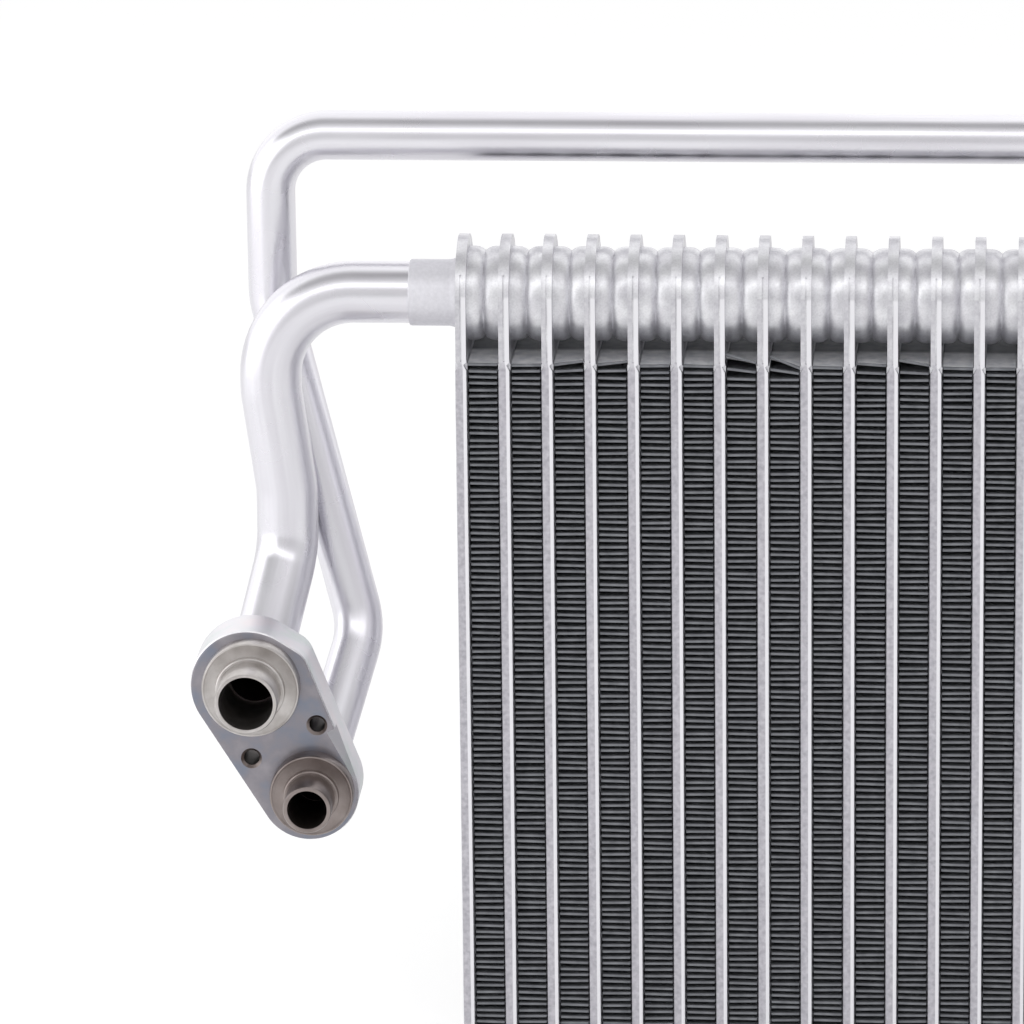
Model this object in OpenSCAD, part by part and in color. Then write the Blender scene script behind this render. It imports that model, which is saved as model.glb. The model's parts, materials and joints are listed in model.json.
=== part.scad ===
// Evaporator core: stacked flat tubes with drawn cups, corrugated fins between them,
// a suction pipe, a liquid pipe and the connection block that holds both pipe ends.
// Millimetres. The origin is the middle of the bottom face of the centre tube:
// +X runs along the row of tubes, +Y from the block's side to the back, +Z up.

/* [Core] */
// Number of flat tubes in the row, an odd number
tube_count = 25; // [9:2:25]
// Distance from one tube to the next
tube_pitch = 11; // [9.5:0.1:13]
// Overall height of a tube, from its bottom to the top of its rim
tube_height = 235; // [200:1:300]
// Depth of a tube, in the direction of the air
tube_depth = 50; // [46:0.5:60]
// Thickness of a tube over its two plates, below the cups
tube_thick = 3.1; // [2.4:0.1:4]
// Thickness of a tube's rim beside the cups
rim_thick = 2.7; // [2.2:0.1:3.4]
// Wall of a stamped plate
plate_wall = 0.5; // [0.4:0.05:0.6]

/* [Tube edges] */
// Width of the flat nose at a tube's front and rear edge
nose_width = 2.7; // [1.4:0.1:2.8]
// Depth over which the nose widens to the full tube
shoulder_depth = 0.6; // [0.4:0.1:1.4]
// Width that is left at the notch under the cups
notch_width = 1.24; // [1:0.02:2]
// Depth of the notch from the tube's edge
notch_depth = 1.7; // [0.8:0.1:2.2]
// Height of the notch's slope below its narrowest place
notch_below = 1.75; // [1:0.05:3]
// Height of the notch's slope above its narrowest place
notch_above = 0.95; // [0.5:0.05:2]
// Width of the seam between the two plates along the rim
seam_width = 0.4; // [0.2:0.05:0.8]
// Depth of that seam
seam_depth = 0.5; // [0.2:0.05:0.6]
// Height of the seam's upper end over the cup's centre
seam_top = 8; // [2:0.5:10]

/* [Cups] */
// Radius of a front cup
cup_r = 12.1; // [11:0.1:12.5]
// Width of the rim round a front cup
rim_width = 3.1; // [2.6:0.1:4]
// Distance from a front cup's centre to the tube's front edge
cup_inset = 15; // [14:0.1:15.5]
// Radius of the opening where two front cups meet
cup_mouth_r = 9.9; // [8:0.1:10]
// Radius of a rear cup
rear_cup_r = 7.2; // [7:0.1:7.6]
// Width of the rim round a rear cup
rear_rim_width = 2.7; // [2.2:0.1:3]
// Radius of the opening where two rear cups meet
rear_mouth_r = 5; // [4:0.1:5.4]
// Drop of the cup's side to the flat ring where two cups meet
cup_drop = 1.1; // [0.6:0.1:1.4]
// Distance from the tube's middle at which a cup begins to round over
cup_straight = 2.9; // [2.3:0.1:3.4]

/* [Passages] */
// Width of the rib between the front and the rear passage
rib_width = 3; // [2:0.1:6]
// Height of the turn from one passage to the other at the bottom
turn_height = 20; // [10:1:40]
// Solid bottom edge of a tube
bottom_edge = 2; // [1:0.1:4]
// Solid front and rear edge of a tube
side_edge = 2.7; // [2.4:0.1:4]
// Depth of the throat between the front passage and its cup
throat_depth = 18; // [10:0.5:20]
// Depth of the throat between the rear passage and its cup
rear_throat_depth = 10; // [8:0.5:12]

/* [Fins] */
// Number of legs of a folded fin
fin_legs = 60; // [20:2:60]
// Breadth of a fin leg along the row
fin_band = 0.8; // [0.5:0.05:1.2]
// Distance of the fin's edge behind the tube's edge
fin_setback = 1.5; // [1.3:0.1:3]
// Height of the fin's lower end over the bottom
fin_foot = 3; // [0:0.5:10]
// Distance of the fin's upper end below the notch
fin_headroom = 0.3; // [0.1:0.1:2]

/* [Suction pipe] */
// Outer diameter of the suction pipe
suction_od = 15.9; // [14:0.1:17]
// Wall of the suction pipe
suction_wall = 1.5; // [1:0.1:2]
// Distance of the pipe's corner from the first tube
suction_reach = 50.25; // [46:0.25:60]
// Bend radius of that corner
suction_bend = 22; // [18:0.5:24]
// Distance from the corner down to the start of the joggle
joggle_drop = 26.4; // [26:0.1:32]
// Height of the joggle
joggle_height = 26; // [20:0.5:30]
// Sideways step of the joggle towards the tubes
joggle_step = 3.6; // [0:0.1:8]
// Height of the straight below the joggle
suction_leg = 16.5; // [12:0.5:20]
// Bend radius of the lower corner
suction_knee = 18; // [12:0.5:20]

/* [Liquid pipe] */
// Outer diameter of the liquid pipe
liquid_od = 12.7; // [11:0.1:13.5]
// Wall of the liquid pipe
liquid_wall = 1.5; // [1:0.1:1.8]
// Height of the top run over the centre of the cups
liquid_rise = 35.1; // [33:0.1:45]
// Distance of the left corner from the first tube
liquid_reach = 52.1; // [48:0.1:60]
// Distance of the right end from the last tube
liquid_overhang = 25.5; // [24:0.5:40]
// Bend radius of the corners of the top run
liquid_bend = 15; // [12:0.5:16]
// Drop of the kink below the centre of the cups
kink_drop = 8.4; // [4:0.1:16]
// Distance of the kink from the first tube
kink_reach = 51.9; // [48:0.1:58]
// Distance of the kink behind the suction pipe
kink_behind = 25; // [22:0.5:30]
// Drop of the elbow below the centre of the cups
elbow_drop = 91.8; // [86:0.1:96]
// Distance of the elbow from the first tube
elbow_reach = 28.4; // [24:0.1:32]
// Distance of the elbow behind the suction pipe
elbow_behind = 5.5; // [4:0.5:10]
// Bend radius of the kink and the elbow
liquid_knee = 18; // [12:0.5:24]

/* [Collars] */
// Length of the sleeve round the suction pipe at the tank
suction_collar_length = 12.6; // [8:0.1:16]
// Length of the sleeve round the liquid pipe at the tank
liquid_collar_length = 7; // [5:0.1:8]
// Wall of a sleeve
collar_wall = 0.55; // [0.4:0.05:1]
// Brazing gap round a pipe in its sleeve or socket
braze_gap = 0.05; // [0.02:0.01:0.1]

/* [Connection block] */
// Distance of the suction port from the first tube
block_reach = 52.1; // [50:0.05:58]
// Drop of the suction port below the centre of the cups
block_drop = 92.15; // [90:0.05:98]
// Distance from the cups' centre line to the back of the block
block_forward = 29; // [27:0.5:40]
// Thickness of the block
block_thick = 15; // [12:0.5:20]
// Distance between the two ports
port_gap = 31.9; // [30:0.1:36]
// Lean of the line through both ports
block_tilt = 28.2; // [20:0.1:35]
// Radius of the block's upper lobe
upper_lobe_r = 14.8; // [14:0.1:16]
// Radius of the block's lower lobe
lower_lobe_r = 12.8; // [12:0.1:14]
// Radius of the rounded shoulder beside the upper lobe
shoulder_r = 7.2; // [5:0.1:8]
// Distance of the shoulder's centre beside the upper port
shoulder_out = 8.1; // [7.5:0.1:9.5]
// Distance of the shoulder's centre below the upper port
shoulder_drop = 1; // [0:0.1:3]
// Offset of both lobes from the line through the ports
lobe_offset = -1.2; // [-2:0.1:0]
// Length of the straight stub between a pipe's last bend and the block
stub_length = 10; // [9.5:0.5:14]
// Depth of a pipe in its socket
socket_depth = 8; // [5:0.5:10]
// Bend radius of a pipe's last corner before the block
stub_bend = 15; // [12:0.5:16]
// Distance of the bevel's face edge beside the ports
bevel_out = 10.8; // [10.8:0.1:12]
// Distance of the bevel's upper end below the upper port
bevel_start = 20; // [19:0.5:22]
// Length of the bevel
bevel_length = 18.5; // [12:0.5:20]
// Depth of the bevel in the block's side
bevel_depth = 8; // [4:0.5:10]

/* [Ports] */
// Radius of the suction port's boss
suction_boss_r = 12.5; // [11:0.1:13]
// Radius of the liquid port's boss
liquid_boss_r = 10.7; // [9:0.1:11.2]
// Height of a boss over the block's face
boss_height = 4.5; // [2:0.1:6]
// Outer diameter of the suction spigot
suction_spigot_od = 16; // [15.8:0.1:17]
// Outer diameter of the liquid spigot
liquid_spigot_od = 12.4; // [12:0.1:13.4]
// Length of a spigot over its boss
spigot_length = 11.3; // [8:0.1:14]
// Bore of the suction port
suction_bore = 13.7; // [13:0.1:14.2]
// Bore of the liquid port
liquid_bore = 9.9; // [9.7:0.1:10.4]
// Width of the low shoulder round the foot of a spigot
foot_width = 0.8; // [0.4:0.1:1.4]
// Height of that shoulder
foot_height = 1.4; // [0.6:0.1:2.5]

/* [Bolt holes] */
// Distance between the two bolt holes
bolt_gap = 19.2; // [18.4:0.1:20]
// Distance of the bolt holes below the suction port
bolt_drop = 17.05; // [16:0.05:17.5]
// Offset of the bolt holes' middle from the line through the ports
bolt_offset = -0.1; // [-1:0.1:1]
// Diameter of a bolt hole
bolt_hole_d = 4; // [3:0.1:4.2]

/* [Hidden] */
$fn = 96;
tube_names = [for (i = [1:tube_count - 2]) str("tube_", i < 10 ? "0" : "", i)];
fin_names = [for (i = [1:tube_count - 1]) str("fin_", i < 10 ? "0" : "", i)];
end_names = ["left_end_plate", "left_half_plate", "right_half_plate", "right_end_plate"];
pipe_names = ["suction_pipe", "suction_collar", "liquid_pipe", "liquid_collar", "connection_block"];

// How far a cutting shape reaches past what it cuts
over = 1;

// Number of sides of a pipe, and the largest turn from one of its rings to the next
pipe_sides = 24;
bend_step = 15;

// Places along the row
last_x = (tube_count - 1) / 2 * tube_pitch;
rim_r = cup_r + rim_width;
rear_rim_r = rear_cup_r + rear_rim_width;
front_y = cup_inset - tube_depth / 2;
rear_y = tube_depth / 2 - rear_rim_r + rim_r - cup_inset;
cup_z = tube_height - rim_r;
notch_z = cup_z - rim_r;
rear_z = notch_z + rear_rim_r;
half_pitch = tube_pitch / 2;
rib_y = (front_y + rim_r + rear_y - rear_rim_r) / 2;

// The arc that rounds a cup's side over, from its straight part to the flat ring
round_length = half_pitch - cup_straight;
round_r = (round_length ^ 2 + cup_drop ^ 2) / (2 * cup_drop);

// Fins
fin_half = (tube_pitch - tube_thick) / 2;
fin_height = notch_z - fin_headroom - fin_foot;
fin_leg = fin_height / fin_legs;

// The ports, with the suction port as the block's own origin
block_back_y = front_y - block_forward;
suction_port = [-last_x - block_reach, block_back_y, cup_z - block_drop];
liquid_port = suction_port + port_gap * [sin(block_tilt), 0, -cos(block_tilt)];

// Centre lines of the pipes, corner by corner, with a bend radius at each corner
suction_corner_z = cup_z - joggle_drop;
suction_leg_x = -last_x - suction_reach + joggle_step;
suction_route = [
  [-last_x - rim_thick / 2, front_y, cup_z],
  [-last_x - suction_reach, front_y, cup_z],
  [-last_x - suction_reach, front_y, suction_corner_z],
  [suction_leg_x, front_y, suction_corner_z - joggle_height],
  [suction_leg_x, front_y, suction_corner_z - joggle_height - suction_leg],
  suction_port + [0, stub_length, 0],
  suction_port + [0, -socket_depth, 0]
];
suction_bends = [0, suction_bend, suction_bend, suction_bend, suction_knee, stub_bend, 0];
liquid_top_z = cup_z + liquid_rise;
liquid_route = [
  [last_x + rim_thick / 2, rear_y, rear_z],
  [last_x + liquid_overhang, rear_y, rear_z],
  [last_x + liquid_overhang, rear_y, liquid_top_z],
  [-last_x - liquid_reach, rear_y, liquid_top_z],
  [-last_x - kink_reach, front_y + kink_behind, cup_z - kink_drop],
  [-last_x - elbow_reach, front_y + elbow_behind, cup_z - elbow_drop],
  liquid_port + [0, stub_length, 0],
  liquid_port + [0, -socket_depth, 0]
];
liquid_bends = [0, liquid_bend, liquid_bend, liquid_bend, liquid_knee, liquid_knee, stub_bend, 0];

aluminium = "#b9b9be";
fin_grey = "#6f7074";
pipe_grey = "#d8d8dc";
collar_grey = "#c8c8cc";
block_grey = "#a6a6ac";

function unit(v) = v / norm(v);
function heading(route, i) = unit(route[i + 1] - route[i]);
function turn(route, i) = acos(heading(route, i - 1) * heading(route, i));
// Any direction that is square to v
function square_to(v) = abs(v.z) > 0.9 ? unit(cross([0, 1, 0], v)) : unit(cross([0, 0, 1], v));
// The direction v, turned round an axis
function turned(v, axis, angle) =
  v * cos(angle) + cross(axis, v) * sin(angle) + axis * (axis * v) * (1 - cos(angle));

// The frames of a corner of a pipe: each has a centre, a direction across and the heading
function corner_frames(route, bends, i, across) =
  let (
    before = heading(route, i - 1),
    after = heading(route, i),
    axis = unit(cross(before, after)),
    inward = unit(after - before * (before * after)),
    hub = route[i] - before * bends[i] * tan(turn(route, i) / 2) + inward * bends[i],
    steps = ceil(turn(route, i) / bend_step)
  )
  [for (k = [0:steps])
    let (angle = turn(route, i) * k / steps)
    [
      hub - turned(inward, axis, angle) * bends[i],
      turned(across, axis, angle),
      turned(before, axis, angle)
    ]];

// The frames from corner i to the end of the route
function frames_from(route, bends, i, across) =
  i == len(route) - 1
    ? [[route[i], across, heading(route, i - 1)]]
    : let (corner = corner_frames(route, bends, i, across))
      concat(corner, frames_from(route, bends, i + 1, corner[len(corner) - 1][1]));

function frames(route, bends) =
  let (across = square_to(heading(route, 0)))
  concat([[route[0], across, heading(route, 0)]], frames_from(route, bends, 1, across));

function ring_points(frame, r) =
  let (other = cross(frame[2], frame[1]))
  [for (k = [0:pipe_sides - 1])
    frame[0] + r * (cos(360 * k / pipe_sides) * frame[1] + sin(360 * k / pipe_sides) * other)];

module ring(outer_r, inner_r) {
  difference() {
    circle(outer_r);
    circle(inner_r);
  }
}

// A pipe along a route of corners, straight between them and bent round each one
module pipe(route, bends, od, wall) {
  path = frames(route, bends);
  last = len(path) - 1;
  inside = len(path) * pipe_sides;
  outer_points = [for (f = path) each ring_points(f, od / 2)];
  inner_points = [for (f = path) each ring_points(f, od / 2 - wall)];
  next = [for (k = [0:pipe_sides - 1]) (k + 1) % pipe_sides];
  function at(j, k) = j * pipe_sides + k;
  outer_faces = [for (j = [0:last - 1], k = [0:pipe_sides - 1])
    [at(j, k), at(j + 1, k), at(j + 1, next[k]), at(j, next[k])]];
  inner_faces = [for (j = [0:last - 1], k = [0:pipe_sides - 1])
    [inside + at(j, next[k]), inside + at(j + 1, next[k]), inside + at(j + 1, k), inside + at(j, k)]];
  start_faces = [for (k = [0:pipe_sides - 1])
    [at(0, k), at(0, next[k]), inside + at(0, next[k]), inside + at(0, k)]];
  end_faces = [for (k = [0:pipe_sides - 1])
    [at(last, k), inside + at(last, k), inside + at(last, next[k]), at(last, next[k])]];
  polyhedron(
    concat(outer_points, inner_points),
    concat(outer_faces, inner_faces, start_faces, end_faces)
  );
}

// Turns a flat outline, drawn in the tube's depth and height, into a plate of some thickness
module upright(thick) {
  rotate([90, 0, 90])
    linear_extrude(thick, center = true)
      children();
}

// Side view of a tube above the notch, drawn in by some inset
module rim_outline(inset = 0) {
  half = tube_depth / 2 - inset;
  intersection() {
    union() {
      translate([front_y, cup_z])
        circle(rim_r - inset);
      translate([rear_y, rear_z])
        circle(rear_rim_r - inset);
      translate([-half, notch_z])
        square([front_y + rim_r - inset + half, cup_z - notch_z]);
      translate([-half, notch_z])
        square([2 * half, rear_z - notch_z]);
    }
    translate([-half, notch_z])
      square([2 * half, tube_height]);
  }
}

// Plan of a tube below the cups: a flat nose that widens over a sloping shoulder
module tube_plan() {
  nose = nose_width / 2;
  body = tube_thick / 2;
  edge = tube_depth / 2;
  shoulder = edge - shoulder_depth;
  polygon([
    [-nose, -edge], [nose, -edge], [body, -shoulder], [body, shoulder],
    [nose, edge], [-nose, edge], [-body, shoulder], [-body, -shoulder]
  ]);
}

// The notches on both sides of a tube, at its front and rear edge
module notches() {
  reach = tube_thick;
  outer = tube_thick / 2;
  slope_below = notch_below / (outer - notch_width / 2);
  slope_above = notch_above / (outer - notch_width / 2);
  deep = reach - notch_width / 2;
  for (edge = [-1, 1], side = [0, 1])
    mirror([side, 0, 0])
      translate([0, edge * tube_depth / 2, notch_z])
        rotate([90, 0, 0])
          linear_extrude(2 * notch_depth, center = true)
            polygon([
              [notch_width / 2, 0],
              [reach, -deep * slope_below],
              [reach, deep * slope_above]
            ]);
}

// The open seam along the rim, where the two plates part
module rim_seam() {
  difference() {
    translate([-seam_width / 2, -tube_depth, notch_z + notch_above])
      cube([seam_width, 2 * tube_depth, cup_z + seam_top - notch_z - notch_above]);
    upright(2 * seam_width)
      rim_outline(seam_depth);
  }
}

// Half section of a cup, radius across and distance from the tube's middle upwards
module cup_profile(outer_r, mouth_r, inset) {
  square([outer_r - inset, cup_straight]);
  intersection() {
    translate([outer_r - round_r, cup_straight])
      circle(round_r - inset);
    translate([0, cup_straight])
      square([outer_r, round_length - inset]);
  }
  square([mouth_r - inset, half_pitch - inset]);
}

module cup(side, outer_r, mouth_r, inset = 0) {
  rotate([0, side * 90, 0])
    rotate_extrude()
      cup_profile(outer_r, mouth_r, inset);
}

// The hollow of a tube at a cup: an open cup, or a shallow disc behind a closed plate
module cup_hollow(side, outer_r, mouth_r, open) {
  if (open) {
    cup(side, outer_r, mouth_r, plate_wall);
    rotate([0, side * 90, 0])
      cylinder(r = mouth_r, h = half_pitch + over);
  } else {
    rotate([0, side * 90, 0])
      cylinder(r = outer_r - plate_wall, h = rim_thick / 2 - plate_wall);
  }
}

module at_front_cup() {
  translate([0, front_y, cup_z])
    children();
}

module at_rear_cup() {
  translate([0, rear_y, rear_z])
    children();
}

// The outsides of the front and the rear cup on one side of a tube
module cup_pair(side) {
  at_front_cup()
    cup(side, cup_r, cup_mouth_r);
  at_rear_cup()
    cup(side, rear_cup_r, rear_mouth_r);
}

// The hollows of the front and the rear cup on one side of a tube
module cup_hollows(side, open) {
  at_front_cup()
    cup_hollow(side, cup_r, cup_mouth_r, open);
  at_rear_cup()
    cup_hollow(side, rear_cup_r, rear_mouth_r, open);
}

// Passages inside a tube: two channels that join at the bottom and open into the cups
module passages() {
  low_half = tube_thick / 2 - plate_wall;
  high_half = rim_thick / 2 - plate_wall;
  top = notch_z - over;
  edge = tube_depth / 2 - side_edge;
  translate([-low_half, -edge, bottom_edge])
    cube([2 * low_half, rib_y - rib_width / 2 + edge, top - bottom_edge]);
  translate([-low_half, rib_y + rib_width / 2, bottom_edge])
    cube([2 * low_half, edge - rib_y - rib_width / 2, top - bottom_edge]);
  translate([-high_half, front_y - throat_depth / 2, top - over])
    cube([2 * high_half, throat_depth, cup_z - top + over]);
  translate([-high_half, rear_y - rear_throat_depth / 2, top - over])
    cube([2 * high_half, rear_throat_depth, rear_z - top + over]);
  translate([-low_half, rib_y - rib_width / 2 - over, bottom_edge])
    cube([2 * low_half, rib_width + 2 * over, turn_height]);
}

// A whole tube, with or without cups on its left and right
module tube(left_cups, right_cups) {
  difference() {
    union() {
      linear_extrude(notch_z)
        tube_plan();
      upright(rim_thick)
        rim_outline();
      if (left_cups) cup_pair(-1);
      if (right_cups) cup_pair(1);
    }
    notches();
    rim_seam();
    passages();
    cup_hollows(-1, left_cups);
    cup_hollows(1, right_cups);
  }
}

// Half a tube, cut at the seam between its two plates
module half_tube(side, with_cups) {
  intersection() {
    tube(with_cups && side < 0, with_cups && side > 0);
    translate([side > 0 ? 0 : -tube_pitch, -tube_depth, -over])
      cube([tube_pitch, 2 * tube_depth, tube_height + 2 * over]);
  }
}

// A flat end plate with one hole for a pipe
module end_plate(side, hole_y, hole_z, hole_r) {
  color(aluminium)
    translate([side * last_x, 0, 0])
      difference() {
        half_tube(side, false);
        translate([0, hole_y, hole_z])
          rotate([0, 90, 0])
            cylinder(r = hole_r, h = 4 * rim_thick, center = true);
      }
}

module half_plate(side) {
  color(aluminium)
    translate([side * last_x, 0, 0])
      half_tube(-side, true);
}

// The tube at a place along the row, counted from the left end
module core_tube(i) {
  color(aluminium)
    translate([i * tube_pitch - last_x, 0, 0])
      tube(true, true);
}

// The folded fin between two tubes
module fin(i) {
  left = [for (k = [0:fin_legs]) [k % 2 == 0 ? -fin_half : fin_half - fin_band, k * fin_leg]];
  right = [for (k = [fin_legs:-1:0]) [k % 2 == 0 ? fin_band - fin_half : fin_half, k * fin_leg]];
  color(fin_grey)
    translate([(i - 0.5) * tube_pitch - last_x, 0, fin_foot])
      rotate([90, 0, 0])
        linear_extrude(tube_depth - 2 * fin_setback, center = true)
          polygon(concat(left, right));
}

module suction_pipe() {
  color(pipe_grey)
    pipe(suction_route, suction_bends, suction_od, suction_wall);
}

module liquid_pipe() {
  color(pipe_grey)
    pipe(liquid_route, liquid_bends, liquid_od, liquid_wall);
}

// A sleeve round a pipe, standing on the flat end of a tank
module collar(side, y, z, od, length) {
  color(collar_grey)
    translate([side * (last_x + rim_thick / 2), y, z])
      rotate([0, side * 90, 0])
        linear_extrude(length)
          ring(od / 2 + braze_gap + collar_wall, od / 2 + braze_gap);
}

module suction_collar() {
  collar(-1, front_y, cup_z, suction_od, suction_collar_length);
}

module liquid_collar() {
  collar(1, rear_y, rear_z, liquid_od, liquid_collar_length);
}

// The two points where an outer tangent touches two circles, on the right as one goes from a to b
function tangent(a, ra, b, rb) =
  let (
    gap = b - a,
    dir = unit(gap),
    side = [dir.y, -dir.x],
    s = (ra - rb) / norm(gap),
    out = dir * s + side * sqrt(1 - s * s)
  )
  [a + out * ra, b + out * rb];

// Front view of the block: three circles and the band of straight sides round them
module block_outline() {
  upper = [lobe_offset, 0];
  lower = [lobe_offset, -port_gap];
  shoulder = [shoulder_out, -shoulder_drop];
  polygon(concat(
    tangent(lower, lower_lobe_r, shoulder, shoulder_r),
    tangent(shoulder, shoulder_r, upper, upper_lobe_r),
    tangent(upper, upper_lobe_r, lower, lower_lobe_r)
  ));
  translate(upper)
    circle(upper_lobe_r);
  translate(lower)
    circle(lower_lobe_r);
  translate(shoulder)
    circle(shoulder_r);
}

module port_solid(boss_r, spigot_od) {
  cylinder(r = boss_r, h = block_thick + boss_height);
  cylinder(r = spigot_od / 2 + foot_width, h = block_thick + boss_height + foot_height);
  cylinder(d = spigot_od, h = block_thick + boss_height + spigot_length);
}

module port_bore(bore, pipe_od) {
  translate([0, 0, -over])
    cylinder(d = bore, h = block_thick + boss_height + spigot_length + 2 * over);
  translate([0, 0, -over])
    cylinder(r = pipe_od / 2 + braze_gap, h = socket_depth + over);
}

module connection_block() {
  color(block_grey)
    translate(suction_port)
      rotate([90, 0, 0])
        rotate(block_tilt)
          difference() {
            union() {
              linear_extrude(block_thick)
                block_outline();
              port_solid(suction_boss_r, suction_spigot_od);
              translate([0, -port_gap, 0])
                port_solid(liquid_boss_r, liquid_spigot_od);
            }
            port_bore(suction_bore, suction_od);
            translate([0, -port_gap, 0])
              port_bore(liquid_bore, liquid_od);
            for (side = [-1, 1])
              translate([bolt_offset + side * bolt_gap / 2, -bolt_drop, -over])
                cylinder(d = bolt_hole_d, h = block_thick + 2 * over);
            block_bevel();
          }
}

// The bevel along the block's front edge beside the liquid port
module block_bevel() {
  outer = lobe_offset + lower_lobe_r + shoulder_r / 2;
  translate([0, -bevel_start, block_thick])
    rotate([90, 0, 0])
      linear_extrude(bevel_length)
        polygon([[bevel_out, 0], [bevel_out, over], [outer, over], [outer, -bevel_depth]]);
}

module left_end_plate() {
  end_plate(-1, front_y, cup_z, suction_od / 2 - suction_wall);
}

module right_end_plate() {
  end_plate(1, rear_y, rear_z, liquid_od / 2 - liquid_wall);
}

module left_half_plate() {
  half_plate(-1);
}

module right_half_plate() {
  half_plate(1);
}

left_end_plate();
left_half_plate();
for (i = [0:len(tube_names) - 1])
  core_tube(i + 1);
for (i = [0:len(fin_names) - 1])
  fin(i + 1);
right_half_plate();
right_end_plate();
suction_pipe();
suction_collar();
liquid_pipe();
liquid_collar();
connection_block();
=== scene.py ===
"""Evaporator core: folded fins, brazed tubes, two bent pipes and a machined connection block."""

import json
import math
import random

import bmesh
import bpy
from mathutils import Matrix, Vector


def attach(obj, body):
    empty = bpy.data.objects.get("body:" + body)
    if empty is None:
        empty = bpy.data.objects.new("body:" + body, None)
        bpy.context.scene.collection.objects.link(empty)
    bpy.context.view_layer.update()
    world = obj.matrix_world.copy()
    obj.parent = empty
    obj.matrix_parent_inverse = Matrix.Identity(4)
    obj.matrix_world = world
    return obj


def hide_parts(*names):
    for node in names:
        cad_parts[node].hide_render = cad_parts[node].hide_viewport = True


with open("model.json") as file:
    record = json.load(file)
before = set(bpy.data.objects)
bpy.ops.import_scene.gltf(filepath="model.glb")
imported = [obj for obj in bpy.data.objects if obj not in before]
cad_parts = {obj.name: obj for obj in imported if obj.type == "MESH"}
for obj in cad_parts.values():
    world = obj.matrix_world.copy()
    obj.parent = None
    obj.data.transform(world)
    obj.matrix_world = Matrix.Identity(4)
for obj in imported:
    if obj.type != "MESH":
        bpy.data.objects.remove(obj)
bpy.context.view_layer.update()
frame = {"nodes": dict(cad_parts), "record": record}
MM = 0.001

# Sizes of the core, in millimetres. X runs along the row of tubes, Y to the back and Z up
TUBES, PITCH = 25, 11.0
FIRST_X = -(TUBES - 1) / 2 * PITCH
# Half the core's depth, the height of the notches and the outer faces of the end plates
HALF_DEPTH, NOTCH_Z, END_FACE = 25.0, 204.6, 133.35
# Each fin: half its width, its depth, the heights of its foot and top, its legs and its sheet
FIN_HALF, FIN_DEPTH, FIN_FOOT, FIN_TOP = 3.95, 47.0, 3.0, 204.3
FIN_LEGS, FIN_SHEET = 121, 0.13
# The pipes: diameters and wall, and the Y and Z of the middle of the tank that each one enters
SUCTION_PIPE, LIQUID_PIPE, PIPE_WALL = 15.9, 12.7, 1.5
FRONT_TANK, REAR_TANK = (-10, 219.8), (15.3, 214.5)
# How far outside its pipe a sleeve or socket starts, and how far out it reaches
PIPE_PLAY, SLEEVE_OUT = 0.05, 0.6
# The connection block's own frame: x across, y up along the line of the ports, z to the front
TILT = math.radians(28.2)
SUCTION_PORT = Vector((-184.1, -39.0, 127.65))
PORT_GAP, BLOCK_THICK, BOSS_HEIGHT, SPIGOT_REACH = 31.9, 15.0, 4.5, 11.3
# The three lobes of its outline, as x, y and radius, and the bolt holes' places
LOBES = ((-1.2, 0.0, 14.8), (-1.2, -PORT_GAP, 12.8), (8.1, -1.0, 7.2))
BOLTS = ((-9.7, -17.05), (9.5, -17.05))
# The block's face looks along -Y
FORWARD = (0, -1, 0)


def linear(hex_colour):
    """An sRGB hex colour as the linear colour that a shader takes."""
    parts = [int(hex_colour[i:i + 2], 16) / 255 for i in (1, 3, 5)]
    return [c / 12.92 if c <= 0.04045 else ((c + 0.055) / 1.055) ** 2.4 for c in parts] + [1.0]


def add_node(tree, kind, links=(), **settings):
    """Adds a node, sets its properties and named sockets, and links or sets its numbered ones."""
    node = tree.nodes.new(kind)
    for key, value in settings.items():
        if key in node.bl_rna.properties:
            setattr(node, key, value)
        else:
            node.inputs[key.replace("_", " ")].default_value = value
    for socket, source in dict(links).items():
        if isinstance(source, bpy.types.NodeSocket):
            tree.links.new(source, node.inputs[socket])
        else:
            node.inputs[socket].default_value = source
    return node


def ramp(tree, source, *stops):
    """A colour ramp fed by a value, with its stops as (place, colour)."""
    node = add_node(tree, "ShaderNodeValToRGB", {"Fac": source})
    band = node.color_ramp
    while len(band.elements) < len(stops):
        band.elements.new(0.5)
    for element, (place, colour) in zip(band.elements, stops):
        element.position = place
        element.color = linear(colour) if isinstance(colour, str) else (colour, colour, colour, 1.0)
    return node.outputs["Color"]


def new_metal(name, roughness):
    """A bare metal material with its shader, and the place of each point in millimetres."""
    metal = bpy.data.materials.new(name)
    metal.use_nodes = True
    tree = metal.node_tree
    tree.nodes.clear()
    shader = add_node(tree, "ShaderNodeBsdfPrincipled", Metallic=1.0, Roughness=roughness)
    add_node(tree, "ShaderNodeOutputMaterial", {"Surface": shader.outputs["BSDF"]})
    place = add_node(tree, "ShaderNodeTexCoord").outputs["Object"]
    per_mm = add_node(tree, "ShaderNodeVectorMath", {0: place}, operation="SCALE", Scale=1 / MM)
    return metal, tree, shader, per_mm.outputs["Vector"]


def raise_grain(tree, shader, height, strength, depth):
    """Lets a pattern stand out of the surface by a depth in millimetres."""
    bump = add_node(
        tree, "ShaderNodeBump", {"Height": height}, Strength=strength, Distance=depth * MM
    )
    tree.links.new(bump.outputs["Normal"], shader.inputs["Normal"])


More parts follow.
